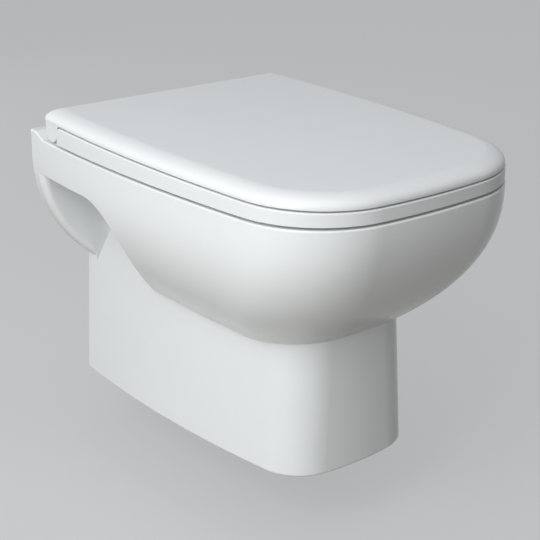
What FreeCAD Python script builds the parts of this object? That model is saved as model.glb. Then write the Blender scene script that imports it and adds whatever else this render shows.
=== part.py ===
import FreeCAD, Part
import math
import os
import Sketcher

# A wall hung toilet: glazed ceramic pan, seat, lid, soft closing quick release hinges and fixings.
# Millimetres, +Z up, +Y into the wall. The origin is the middle of the two wall bolts on the wall.
# Every sub-part is drawn with its own zero at rim level and then placed rim_above_bolts higher.

doc = FreeCAD.newDocument("wall_hung_toilet")
sheet = doc.addObject("Spreadsheet::Sheet", "sizes")

SIZES = {
    # Cuts that run through a face start this far beyond it
    "overlap": 1,
    "behind_wall": 30,
    # Ceramic pan, outside
    "pan_half_width": 180,
    "pan_projection": 506.5,
    "pan_height": 322.8,
    "rim_above_bolts": 80,
    "side_bow_radius": 1905,
    "widest_from_wall": 182,
    "front_bow_radius": 736,
    "rim_corner_radius": 108,
    "rim_edge_radius": 1.8,
    "side_fall_start": 31,
    "side_fall_depth": 220,
    "side_fall_reach": 346,
    "front_fall_start": 4.3,
    "front_fall_depth": 259,
    "front_fall_reach": 497,
    "corner_share": 0.3,
    "crest_depth": -7,
    "band_depth": 16,
    "upper_depth": 40,
    "shoulder_depth": 64,
    "belly_depth": 88,
    "lower_depth": 112,
    "tuck_depth": 136,
    "under_depth": 160,
    "foot_depth": 184,
    "upstand_height": 7,
    "upstand_depth": 12,
    "upstand_slope": 20,
    # Trap housing below the bowl
    "box_half_width": 114.6,
    "box_projection": 403.6,
    "box_bow_radius": 1490,
    "box_widest_from_wall": 116,
    "box_front_radius": 353,
    "box_corner_radius": 56,
    "box_flare": 12,
    "box_top_depth": 108.5,
    "box_wall": 12,
    "box_edge_radius": 2.5,
    "box_ceiling_below_sump": 8,
    # Recesses at both sides of the wall plate
    "plate_thickness": 22,
    "recess_depth_below_rim": 43,
    "recess_bottom_depth": 172,
    "recess_front_middle": 128,
    "recess_scoop_half": 100,
    "recess_inner_front": 120,
    "recess_inner_half": 64,
    "cove_half": 78,
    "cove_front": 64,
    "cove_bottom_depth": 170,
    "plate_edge_radius": 8,
    # Bowl, water way and connections
    "opening_rear": 165,
    "opening_side_in": 50,
    "opening_front_in": 48,
    "opening_lip_depth": 30,
    "lip_overlap": 2,
    "bowl_wall": 16,
    "bowl_roundness": 0.48,
    "bowl_rear": 150,
    "bowl_rear_start": 40,
    "bowl_rear_depth": 160,
    "bowl_rear_reach": 160,
    "bowl_upper_share": 0.38,
    "bowl_middle_share": 0.6,
    "bowl_lower_share": 0.81,
    "sump_margin": 6,
    "trap_bore": 72,
    "trap_wall": 10,
    "sump_from_wall": 322,
    "sump_depth": 185,
    "trap_bend_radius": 56,
    "trap_straight": 21,
    "trap_rise_angle": 62,
    "trap_rise_length": 70,
    "outlet_outside": 102,
    "outlet_below_bolts": 100,
    "outlet_length": 42,
    "outlet_set_back": 6,
    "inlet_above_bolts": 35,
    "inlet_bore": 55,
    "inlet_wall": 9,
    "inlet_way_bore": 40,
    "inlet_socket_depth": 45,
    "back_hollow_half": 52,
    "back_hollow_top": 14,
    "outlet_hollow_half": 68,
    "outlet_hollow_top": 118,
    "back_hollow_depth": 126,
    # Wall fixings
    "wall_bolt_spacing": 180,
    "wall_hole": 22,
    "stud_clear_bore": 13.2,
    "sleeve_flange": 30,
    "sleeve_flange_thickness": 2,
    "sleeve_clearance": 0.15,
    "sleeve_set_back": 0.5,
    "washer_outside": 28,
    "washer_thickness": 2.5,
    "nut_across_flats": 19,
    "nut_height": 10,
    "seal_bore": 45.2,
    "seal_set_back": 3,
    "seal_length": 36,
    # Hinge line and hinge parts
    "axis_from_wall": 52.5,
    "axis_above_rim": 14.4,
    "hinge_spacing": 155,
    "peg_from_wall": 70,
    "peg_diameter": 11,
    "peg_top": 18,
    "hinge_base_diameter": 30,
    "hinge_base_thickness": 3,
    "gasket_thickness": 1.5,
    "hinge_hole": 14,
    "hinge_hole_depth": 37,
    "hinge_bolt": 6,
    "hinge_bolt_head": 8.6,
    "hinge_bolt_head_height": 3,
    "hinge_bolt_key": 4,
    "base_chamfer": 1.2,
    "bolt_end_over": 2,
    "bolt_clearance": 0.2,
    "plug_length": 26,
    "plug_clearance": 0.1,
    "hinge_nut_height": 6,
    "hinge_nut_diameter": 12.6,
    "housing_inner": 58,
    "housing_outer": 96,
    "housing_barrel_radius": 9,
    "housing_front": 81,
    "housing_top": 20.5,
    "housing_edge_radius": 4,
    "damper_radius": 7,
    "damper_inner": 61,
    "shaft_radius": 4,
    "shaft_inner": 66,
    "shaft_flat": 3,
    "lid_journal_radius": 2.9,
    "running_clearance": 0.05,
    "bridge_height": 4,
    "bridge_depth": 10,
    "latch_bottom": 8,
    "latch_thickness": 4,
    "latch_width": 16,
    "latch_travel": 2.5,
    "latch_clearance": 0.15,
    "latch_end": 88,
    "button_stand_out": 6,
    "button_gap": 3,
    "button_height": 9,
    # Seat
    "rim_gap": 3,
    "seat_inset": 1,
    "seat_top_rear": 23.4,
    "seat_fall_angle": 0.9,
    "seat_rear": 69,
    "seat_hole_side_in": 68,
    "seat_hole_front_in": 70,
    "seat_edge_radius": 1.5,
    "seat_hole_rear": 165,
    "seat_hole_edge_radius": 6,
    "seat_notch_front": 88,
    "lug_inner": 97,
    "lug_outer": 111,
    "lug_radius": 9,
    "buffer_length": 34,
    "buffer_width": 12,
    "buffer_sink": 3,
    "seat_buffer_front_in": 63,
    "seat_buffer_side_in": 35,
    "seat_buffer_front_half": 95,
    "seat_buffer_rear": 205,
    # Lid
    "lid_gap": 2.4,
    "lid_thickness": 12.8,
    "lid_inset": 2,
    "ear_inset": 5.8,
    "shaft_cover": 20,
    "lid_buffer_front_in": 16,
    "lid_buffer_side_in": 15,
    "lid_crown_in": 24,
    "lid_upright": 1.5,
    "lid_rear_radius": 8,
    "lid_shell": 4.5,
    "lid_band": 20,
    "lid_hollow_rear": 82,
    "ear_inner": 112,
    "ear_radius": 12,
    "lid_buffer_front_half": 60,
    "lid_buffer_rear": 190,
    "lid_buffer_sink": 2,
    "lid_buffer_diameter": 10,
}

row = 0
for name, value in SIZES.items():
    row += 1
    sheet.set("A%d" % row, name)
    sheet.set("B%d" % row, str(value))
    sheet.setAlias("B%d" % row, name)


def derive(name, formula):
    """Adds a size that is worked out from the driving ones."""
    global row
    row += 1
    sheet.set("A%d" % row, name)
    sheet.set("B%d" % row, "=" + formula)
    sheet.setAlias("B%d" % row, name)


# The outside of the bowl falls in along quarter ellipses, one for the sides and one for the front.
LEVELS = ("crest", "band", "upper", "shoulder", "belly", "lower", "tuck", "under", "foot")


def fall_in(way, depth):
    """How far the outside has come in at a depth, at the sides or at the front."""
    return ("{way}_fall_reach * (1 - sqrt(1 - (max({depth} - {way}_fall_start; 0) / {way}_fall_depth) ^ 2))"
            ).format(way=way, depth=depth)


for level in LEVELS:
    derive(level + "_half", "pan_half_width - " + fall_in("side", level + "_depth"))
    derive(level + "_front", "pan_projection - " + fall_in("front", level + "_depth"))
    derive(level + "_corner",
           "rim_corner_radius * (corner_share + (1 - corner_share) * %s_half / pan_half_width)" % level)
    derive(level + "_height", "0 - %s_depth" % level)

derive("box_top_half", "box_half_width - box_flare")
derive("box_top_front", "box_projection - box_flare / 2")
derive("box_top_height", "0 - box_top_depth")
derive("box_bottom_height", "0 - pan_height")
derive("box_hollow_half", "box_half_width - box_wall")
derive("box_hollow_front", "box_projection - box_wall")
derive("box_hollow_corner", "box_corner_radius - box_wall")
derive("box_corner", "box_corner_radius")
derive("box_half", "box_half_width")
derive("box_front", "box_projection")
derive("hollow_top_half", "box_hollow_half - box_flare")
derive("hollow_top_front", "box_hollow_front - box_flare / 2")
derive("box_ceiling_depth", "sump_depth + box_ceiling_below_sump")
derive("box_ceiling_height", "0 - box_ceiling_depth")

# The bowl inside follows the outside, a wall thickness in, and rounds up behind to the rear.
BOWL = ("under_lip", "bowl_upper", "bowl_middle", "bowl_lower")
derive("under_lip_depth", "opening_lip_depth - lip_overlap")
for level in BOWL[1:]:
    derive(level + "_depth", "sump_depth * %s_share" % level)
for level in BOWL:
    derive(level + "_height", "0 - %s_depth" % level)
    derive(level + "_half", "pan_half_width - bowl_wall - " + fall_in("side", level + "_depth"))
    derive(level + "_front", "pan_projection - bowl_wall - " + fall_in("front", level + "_depth"))
    derive(level + "_rear", "%s + %s" % ("bowl_rear", fall_in("bowl_rear", level + "_depth").replace(
        "bowl_rear_fall", "bowl_rear")))
derive("sump_height", "0 - sump_depth - overlap")
derive("sump_half", "trap_bore / 2 + sump_margin")
derive("sump_rear", "sump_from_wall - sump_half")
derive("sump_front", "sump_from_wall + sump_half + sump_margin / 2")
derive("trap_dip_depth", "sump_depth + trap_straight + trap_bend_radius")
derive("opening_half_width", "pan_half_width - opening_side_in")
derive("opening_front", "pan_projection - opening_front_in")
derive("seat_hole_half_width", "pan_half_width - seat_hole_side_in")
derive("seat_hole_front", "pan_projection - seat_hole_front_in")
derive("seat_buffer_front", "pan_projection - seat_buffer_front_in")
derive("seat_buffer_rear_half", "pan_half_width - seat_buffer_side_in")
derive("lid_buffer_front", "pan_projection - lid_buffer_front_in")
derive("lid_buffer_rear_half", "pan_half_width - lid_buffer_side_in")
derive("lid_rear", "axis_from_wall - ear_radius")
derive("recess_middle_depth", "(recess_depth_below_rim + recess_bottom_depth) / 2")
derive("recess_front_radius", "(recess_bottom_depth - recess_depth_below_rim) / 2")
derive("outlet_height", "0 - rim_above_bolts - outlet_below_bolts")
derive("inlet_height", "inlet_above_bolts - rim_above_bolts")
derive("wall_bolt_height", "0 - rim_above_bolts")
derive("seat_half", "pan_half_width - seat_inset")
derive("seat_front", "pan_projection - seat_inset")
derive("seat_corner", "rim_corner_radius - seat_inset")
derive("seat_thickness", "seat_top_rear - rim_gap")
derive("lid_half", "pan_half_width - lid_inset")
derive("ear_outer", "lid_half - ear_inset")
derive("shaft_end", "ear_outer - shaft_cover")
derive("lid_front", "pan_projection - lid_inset")
derive("lid_corner", "rim_corner_radius - lid_inset")
derive("lid_bottom", "seat_top_rear + lid_gap")
derive("peg_bottom", "gasket_thickness + hinge_base_thickness")
derive("recess_top_height", "0 - recess_depth_below_rim")
derive("washer_seat", "plate_thickness + sleeve_flange_thickness")
derive("nut_seat", "washer_seat + washer_thickness")
derive("bolt_seat", "peg_top - hinge_bolt_head_height - bolt_clearance")
derive("bolt_reach", "plug_length + hinge_nut_height + bolt_end_over")
derive("seat_rear_radius", "seat_top_rear - axis_above_rim")

# The edge of the lid rounds over as a quarter ellipse; each level is a share of its height.
CROWN = {"lid_foot": 0, "crown_start": 0, "crown_low": 0.3, "crown_half_way": 0.55, "crown_high": 0.75,
         "crown_turn": 0.88, "crown_edge": 0.96, "crown_top": 0.99}
for level, share in CROWN.items():
    upright = "0" if level == "lid_foot" else "lid_upright"
    derive(level + "_height", "lid_bottom + %s + (lid_thickness - lid_upright) * %s" % (upright, share))
    derive(level + "_in", "lid_crown_in * (1 - sqrt(1 - %s ^ 2))" % share)
    derive(level + "_half", "lid_half - %s_in" % level)
    derive(level + "_front", "lid_front - %s_in" % level)
    derive(level + "_corner", "lid_corner - %s_in" % level)

derive("lid_hollow_half", "lid_half - lid_band")
derive("lid_hollow_front", "lid_front - lid_band")
derive("lid_hollow_corner", "lid_corner - lid_band")
derive("seat_top_in_lid",
       "axis_above_rim + (seat_rear + seat_rear_radius - axis_from_wall) * sin(seat_fall_angle * 1 deg)"
       " + seat_rear_radius * cos(seat_fall_angle * 1 deg)")
doc.recompute()


def val(name):
    """The number now held by a size."""
    return float(sheet.get(name))


def ref(name):
    return "sizes." + name


def new_body(label):
    body = doc.addObject("PartDesign::Body", label)
    body.Label = label
    return body


def place(body):
    body.setExpression("Placement.Base.z", ref("rim_above_bolts"))


def place_leaning(body):
    """Places a part of the lid, which leans with the top of the seat about the hinge axis."""
    body.Placement = FreeCAD.Placement(FreeCAD.Vector(), FreeCAD.Rotation(FreeCAD.Vector(1, 0, 0), 1))
    lean = "sizes.seat_fall_angle * 1 deg"
    body.setExpression("Placement.Rotation.Angle", lean)
    body.setExpression("Placement.Base.y",
                       "sizes.axis_from_wall * (cos(%s) - 1) + sizes.axis_above_rim * sin(%s)" % (lean, lean))
    body.setExpression("Placement.Base.z", "sizes.rim_above_bolts + sizes.axis_above_rim * (1 - cos(%s))"
                       " + sizes.axis_from_wall * sin(%s)" % (lean, lean))


def sketch(body, name, plane="XY_Plane", offset=None):
    """An empty sketch on one of the body's own origin planes, moved along its normal by a size."""
    sk = body.newObject("Sketcher::SketchObject", body.Label + "_" + name)
    support = [feature for feature in body.Origin.OriginFeatures if feature.Role == plane][0]
    sk.AttachmentSupport = [(support, "")]
    sk.MapMode = "FlatFace"
    if offset:
        sk.setExpression("AttachmentOffset.Base.z", offset)
    doc.recompute()
    return sk


def bind(sk, kind, *args):
    """Adds one driving dimension: the last argument is its expression, the one before its value now."""
    index = sk.addConstraint(Sketcher.Constraint(kind, *args[:-1]))
    sk.setExpression("Constraints[%d]" % index, args[-1])


def number(expression):
    """The value now of an expression made of sizes."""
    return float(sheet.evalExpression(expression))


def fix_point(sk, geo, pos, across, up):
    """Ties one point to the sketch's origin by two expressions."""
    for kind, axis, expression in (("DistanceX", -2, across), ("DistanceY", -1, up)):
        value = number(expression)
        if abs(value) < 1e-9:
            sk.addConstraint(Sketcher.Constraint("PointOnObject", geo, pos, axis))
        elif value > 0:
            bind(sk, kind, -1, 1, geo, pos, value, expression)
        else:
            bind(sk, kind, geo, pos, -1, 1, -value, "0 - (%s)" % expression)


def polygon(sk, corners):
    """A closed outline of straight lines through corners given as pairs of expressions."""
    points = [FreeCAD.Vector(number(across), number(up), 0) for across, up in corners]
    first = sk.GeometryCount
    count = len(points)
    for index in range(count):
        sk.addGeometry(Part.LineSegment(points[index], points[(index + 1) % count]))
    for index in range(count):
        sk.addConstraint(Sketcher.Constraint("Coincident", first + index, 2, first + (index + 1) % count, 1))
    for index, (across, up) in enumerate(corners):
        fix_point(sk, first + index, 1, across, up)


def box_outline(sk, left, right, low, high):
    polygon(sk, [(left, low), (right, low), (right, high), (left, high)])


def circle(sk, across, up, radius):
    middle = FreeCAD.Vector(number(across), number(up), 0)
    geo = sk.addGeometry(Part.Circle(middle, FreeCAD.Vector(0, 0, 1), number(radius)))
    fix_point(sk, geo, 3, across, up)
    bind(sk, "Radius", geo, number(radius), radius)


def oval(sk, half, rear, front):
    """An ellipse on the centre line, from its rear to its front distance from the wall, longer than wide."""
    half = "min(%s; sizes.bowl_roundness * (%s - %s))" % (half, front, rear)
    half_now, rear_now, front_now = number(half), number(rear), number(front)
    middle = FreeCAD.Vector(0, -(rear_now + front_now) / 2, 0)
    tip = middle + FreeCAD.Vector(0, (front_now - rear_now) / 2, 0)
    side = middle + FreeCAD.Vector(half_now, 0, 0)
    geo = sk.addGeometry(Part.Ellipse(tip, side, middle))
    sk.exposeInternalGeometry(geo)
    sk.addConstraint(Sketcher.Constraint("PointOnObject", geo, 3, -2))
    sk.addConstraint(Sketcher.Constraint("Vertical", geo + 1))
    bind(sk, "Distance", geo + 1, front_now - rear_now, "%s - %s" % (front, rear))
    bind(sk, "Distance", geo + 2, 2 * half_now, "2 * " + half)
    bind(sk, "DistanceY", geo, 3, -1, 1, -middle.y, "(%s + %s) / 2" % (front, rear))


def dee(sk, half, front, corner, back, bow=ref("side_bow_radius"), widest=ref("widest_from_wall"),
        front_bow=ref("front_bow_radius")):
    """A D shaped outline: straight back, two bowed sides, two corner arcs and a bowed front."""
    b, far, rc, yb = number(half), number(front), number(corner), number(back)
    rs, yw, rf = number(bow), number(widest), number(front_bow)
    side_mid = FreeCAD.Vector(b - rs, -yw, 0)
    front_mid = FreeCAD.Vector(0, rf - far, 0)
    apart = front_mid - side_mid
    along = ((rs - rc) ** 2 - (rf - rc) ** 2 + apart.Length ** 2) / (2 * apart.Length)
    off = math.sqrt((rs - rc) ** 2 - along ** 2)
    unit = FreeCAD.Vector(apart).normalize()
    corner_mid = side_mid + unit * along + FreeCAD.Vector(unit.y, -unit.x, 0) * off
    side_dir, front_dir = corner_mid - side_mid, corner_mid - front_mid
    side_end = math.atan2(side_dir.y, side_dir.x)
    front_end = math.atan2(front_dir.y, front_dir.x)
    side_top = math.asin((yb + yw) / rs)
    edge = b - rs + rs * math.cos(side_top)
    up = FreeCAD.Vector(0, 0, 1)

    def arc(middle, radius, start, end):
        return sk.addGeometry(Part.ArcOfCircle(Part.Circle(middle, up, radius), start, end))

    def flip(point):
        return FreeCAD.Vector(-point.x, point.y, 0)

    line = sk.addGeometry(Part.LineSegment(FreeCAD.Vector(-edge, yb, 0), FreeCAD.Vector(edge, yb, 0)))
    right = arc(side_mid, rs, side_end, side_top)
    right_corner = arc(corner_mid, rc, front_end, side_end)
    nose = arc(front_mid, rf, -math.pi - front_end, front_end)
    left_corner = arc(flip(corner_mid), rc, -math.pi - side_end, -math.pi - front_end)
    left = arc(flip(side_mid), rs, math.pi - side_top, math.pi - side_end)
    for one, other in ((right, right_corner), (right_corner, nose), (nose, left_corner), (left_corner, left)):
        sk.addConstraint(Sketcher.Constraint("Tangent", one, 1, other, 2))
    sk.addConstraint(Sketcher.Constraint("Coincident", line, 2, right, 2))
    sk.addConstraint(Sketcher.Constraint("Coincident", line, 1, left, 1))
    sk.addConstraint(Sketcher.Constraint("Horizontal", line))
    sk.addConstraint(Sketcher.Constraint("Symmetric", right, 3, left, 3, -2))
    sk.addConstraint(Sketcher.Constraint("Equal", right, left))
    sk.addConstraint(Sketcher.Constraint("Equal", right_corner, left_corner))
    sk.addConstraint(Sketcher.Constraint("PointOnObject", nose, 3, -2))
    bind(sk, "Radius", right, rs, bow)
    bind(sk, "Radius", right_corner, rc, corner)
    bind(sk, "Radius", nose, rf, front_bow)
    bind(sk, "DistanceX", right, 3, -1, 1, rs - b, "%s - %s" % (bow, half))
    bind(sk, "DistanceY", right, 3, -1, 1, yw, widest)
    bind(sk, "DistanceY", -1, 1, nose, 3, rf - far, "%s - %s" % (front_bow, front))
    if yb > 0:
        bind(sk, "DistanceY", -1, 1, line, 1, yb, back)
    else:
        bind(sk, "DistanceY", line, 1, -1, 1, -yb, "0 - (%s)" % back)


def feature(body, kind, name, profile, **settings):
    made = body.newObject("PartDesign::" + kind, body.Label + "_" + name)
    made.Profile = profile
    for key, value in settings.items():
        if isinstance(value, str) and key in ("Length", "Length2", "Angle", "Radius", "Size"):
            made.setExpression(key, value)
        else:
            setattr(made, key, value)
    doc.recompute()
    return made


def pad(body, name, profile, length, **settings):
    return feature(body, "Pad", name, profile, Length=length, **settings)


def pocket(body, name, profile, length, **settings):
    return feature(body, "Pocket", name, profile, Length=length, **settings)


def loft(body, kind, name, profiles):
    made = body.newObject("PartDesign::" + kind, body.Label + "_" + name)
    made.Profile = profiles[0]
    made.Sections = profiles[1:]
    doc.recompute()
    return made


def edges(shape, wanted):
    """Names of the edges that a test picks out."""
    return ["Edge%d" % (index + 1) for index, edge in enumerate(shape.Edges) if wanted(edge)]


def soften(body, kind, name, wanted, ChamferType=None, **sizes):
    """A fillet or chamfer on the picked edges of the body as it stands."""
    base = body.Tip
    made = body.newObject("PartDesign::" + kind, body.Label + "_" + name)
    made.Base = (base, edges(base.Shape, wanted))
    if ChamferType:
        made.ChamferType = ChamferType
    for key, expression in sizes.items():
        made.setExpression(key, expression)
    doc.recompute()
    return made


def flat_at(edge, height):
    box = edge.BoundBox
    return abs(box.ZMin - height) < 1e-3 and abs(box.ZMax - height) < 1e-3


def runs_along_x(edge, y, z):
    box = edge.BoundBox
    middle = box.Center
    return box.YLength < 0.01 and box.ZLength < 0.01 and abs(middle.y - y) < 0.01 and abs(middle.z - z) < 0.01


# Sign of X and direction of a pad away from the centre line, for each side
SIDES = {"right": (1, False), "left": (-1, True)}


def out(side, size):
    """A distance from the centre line on one side."""
    return "%d * (%s)" % (SIDES[side][0], size)


def ceramic_pan():
    """The pan in one piece: bowl, rim, wall plate, side recesses, trap housing and water way."""
    body = new_body("ceramic_pan")
    levels = []
    for level in LEVELS:
        sk = sketch(body, level, offset=ref(level + "_height"))
        dee(sk, ref(level + "_half"), ref(level + "_front"), ref(level + "_corner"), ref("behind_wall"))
        levels.append(sk)
    loft(body, "AdditiveLoft", "hull", levels)

    # The rim is cut level, leaving a low upstand that slopes up to the wall
    sk = sketch(body, "rim_cut_outline", "YZ_Plane")
    polygon(sk, [
        ("0 - sizes.upstand_depth - sizes.upstand_slope", "0"),
        ("0 - sizes.upstand_depth", ref("upstand_height")),
        ("0 - sizes.upstand_depth", "2 * sizes.upstand_height"),
        ("0 - 2 * sizes.pan_projection", "2 * sizes.upstand_height"),
        ("0 - 2 * sizes.pan_projection", "0"),
    ])
    pocket(body, "rim_cut", sk, "4 * sizes.pan_half_width", Midplane=True)
    soften(body, "Fillet", "rim_edge",
           lambda edge: edge.BoundBox.ZMin > -0.01 and edge.BoundBox.YLength > 0.01,
           Radius=ref("rim_edge_radius"))

    # Side recesses between the wall plate and the bowl: a scoop, and a deeper space for the wall nut
    for side in SIDES:
        turned = not SIDES[side][1]
        sk = sketch(body, side + "_scoop_outline", "YZ_Plane", out(side, ref("recess_scoop_half")))
        scoop(sk)
        pocket(body, side + "_scoop", sk, ref("pan_half_width"), Reversed=turned)
        sk = sketch(body, side + "_recess_outline", "YZ_Plane", out(side, ref("recess_inner_half")))
        box_outline(sk, "0 - sizes.recess_inner_front", "0 - sizes.plate_thickness",
                    "0 - sizes.box_top_depth - sizes.overlap", ref("recess_top_height"))
        pocket(body, side + "_recess", sk,
               "sizes.recess_scoop_half - sizes.recess_inner_half + sizes.overlap", Reversed=turned)
    soften(body, "Fillet", "plate_edge", lambda edge: (abs(edge.BoundBox.YMin + val("plate_thickness")) < 0.01
                                                       and edge.BoundBox.YLength < 0.01
                                                       and edge.BoundBox.XLength > 20
                                                       and edge.BoundBox.ZLength > 20),
           Radius=ref("plate_edge_radius"))

    # Trap housing, flaring a little to the floor, hollow and open at the back and below
    box_bows = (ref("box_bow_radius"), ref("box_widest_from_wall"), ref("box_front_radius"))
    for kind, name, top_height, stem in (
            ("AdditiveLoft", "box", "box_top_height", "box_top"),
            ("SubtractiveLoft", "box_hollow", "box_ceiling_height", "hollow_top")):
        top = sketch(body, name + "_top", offset=ref(top_height))
        dee(top, ref(stem + "_half"), ref(stem + "_front"), ref(name + "_corner"), ref("behind_wall"),
            *box_bows)
        low = sketch(body, name + "_low", offset=ref("box_bottom_height"))
        dee(low, ref(name + "_half"), ref(name + "_front"), ref(name + "_corner"), ref("behind_wall"),
            *box_bows)
        loft(body, kind, name, [top, low])
        if name == "box":
            soften(body, "Fillet", "foot_edge", lambda edge: (flat_at(edge, -val("pan_height"))
                                                              and edge.BoundBox.YLength > 0.01),
                   Radius=ref("box_edge_radius"))

    # A slope runs from the wall plate up to the side of the trap housing
    for side in SIDES:
        sk = sketch(body, side + "_cove_outline", "YZ_Plane", out(side, ref("cove_half")))
        polygon(sk, [
            ("0 - sizes.plate_thickness", "sizes.overlap - sizes.box_top_depth"),
            ("0 - sizes.cove_front", "sizes.overlap - sizes.box_top_depth"),
            ("0 - sizes.plate_thickness", "0 - sizes.cove_bottom_depth"),
        ])
        pocket(body, side + "_cove", sk, ref("pan_half_width"), Reversed=not SIDES[side][1])

    # Hollows behind the bowl and around the outlet, then the whole back cut flat at the wall
    for name, half, low, high in (
            ("back_hollow", ref("back_hollow_half"), "0 - sizes.outlet_hollow_top",
             "0 - sizes.back_hollow_top"),
            ("outlet_hollow", ref("outlet_hollow_half"), "0 - sizes.box_ceiling_depth - sizes.overlap",
             "0 - sizes.outlet_hollow_top")):
        sk = sketch(body, name + "_outline", "XZ_Plane", "0 - sizes.behind_wall")
        box_outline(sk, "0 - " + half, half, low, high)
        pocket(body, name, sk, "sizes.behind_wall + sizes.back_hollow_depth", Reversed=True)
    sk = sketch(body, "wall_cut_outline", "XZ_Plane")
    box_outline(sk, "0 - 2 * sizes.pan_half_width", "2 * sizes.pan_half_width", "0 - 2 * sizes.pan_height",
                ref("pan_height"))
    pocket(body, "wall_cut", sk, "2 * sizes.behind_wall")

    # Trap and flush pipes are added solid, then bored with the bowl
    route = trap_route(body)
    tube = sketch(body, "trap_outside", offset="0 - sizes.sump_depth")
    circle(tube, "0", "0 - sizes.sump_from_wall", "sizes.trap_bore / 2 + sizes.trap_wall")
    sweep(body, "AdditivePipe", "trap", tube, route)
    sk = sketch(body, "outlet_outside", "XZ_Plane", ref("outlet_set_back"))
    circle(sk, "0", ref("outlet_height"), "sizes.outlet_outside / 2")
    pad(body, "outlet", sk, ref("outlet_length"))
    sk = sketch(body, "inlet_outside", "XZ_Plane")
    circle(sk, "0", ref("inlet_height"), "sizes.inlet_bore / 2 + sizes.inlet_wall")
    pad(body, "inlet", sk, ref("back_hollow_depth"))

    ovals = []
    for level in BOWL + ("sump",):
        sk = sketch(body, level, offset=ref(level + "_height"))
        oval(sk, ref(level + "_half"), ref(level + "_rear"), ref(level + "_front"))
        ovals.append(sk)
    loft(body, "SubtractiveLoft", "bowl", ovals)
    sk = sketch(body, "opening_outline", offset=ref("overlap"))
    oval(sk, ref("opening_half_width"), ref("opening_rear"), ref("opening_front"))
    pocket(body, "opening", sk, "sizes.opening_lip_depth + sizes.overlap")
    way = sketch(body, "trap_inside", offset="0 - sizes.sump_depth")
    circle(way, "0", "0 - sizes.sump_from_wall", "sizes.trap_bore / 2")
    sweep(body, "SubtractivePipe", "water_way", way, route)
    for name, bore, depth in (
            ("inlet_socket", ref("inlet_bore"), ref("inlet_socket_depth")),
            ("inlet_way", ref("inlet_way_bore"), "sizes.under_lip_rear + sizes.inlet_wall")):
        sk = sketch(body, name + "_outline", "XZ_Plane")
        circle(sk, "0", ref("inlet_height"), bore + " / 2")
        pocket(body, name, sk, depth, Reversed=True)

    # Holes for the wall bolts and for the hinge bolts
    sk = sketch(body, "wall_holes_outline", "XZ_Plane")
    for side in (-1, 1):
        circle(sk, "%d * sizes.wall_bolt_spacing / 2" % side, ref("wall_bolt_height"), "sizes.wall_hole / 2")
    pocket(body, "wall_holes", sk, "sizes.plate_thickness + sizes.overlap", Reversed=True)
    sk = sketch(body, "hinge_holes_outline")
    for side in (-1, 1):
        circle(sk, "%d * sizes.hinge_spacing / 2" % side, "0 - sizes.peg_from_wall", "sizes.hinge_hole / 2")
    pocket(body, "hinge_holes", sk, ref("hinge_hole_depth"))
    return body


def scoop(sk):
    """Side view of a side recess: level above and below, upright at the wall plate and round at the front."""
    radius = val("recess_front_radius")
    middle = FreeCAD.Vector(-val("recess_front_middle"), -val("recess_middle_depth"), 0)
    reach = FreeCAD.Vector(0, radius, 0)
    rear = -val("plate_thickness")
    top, low = middle + reach, middle - reach
    points = [low, FreeCAD.Vector(rear, low.y, 0), FreeCAD.Vector(rear, top.y, 0), top]
    lines = [sk.addGeometry(Part.LineSegment(one, other)) for one, other in zip(points, points[1:])]
    arc = sk.addGeometry(Part.ArcOfCircle(Part.Circle(middle, FreeCAD.Vector(0, 0, 1), radius), math.pi / 2,
                                          1.5 * math.pi))
    for one, other in zip(lines, lines[1:]):
        sk.addConstraint(Sketcher.Constraint("Coincident", one, 2, other, 1))
    sk.addConstraint(Sketcher.Constraint("Tangent", lines[2], 2, arc, 1))
    sk.addConstraint(Sketcher.Constraint("Tangent", arc, 2, lines[0], 1))
    sk.addConstraint(Sketcher.Constraint("Horizontal", lines[0]))
    sk.addConstraint(Sketcher.Constraint("Vertical", lines[1]))
    sk.addConstraint(Sketcher.Constraint("Horizontal", lines[2]))
    fix_point(sk, arc, 3, "0 - sizes.recess_front_middle", "0 - sizes.recess_middle_depth")
    bind(sk, "Radius", arc, radius, ref("recess_front_radius"))
    bind(sk, "DistanceX", lines[1], 1, -1, 1, -rear, ref("plate_thickness"))


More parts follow.
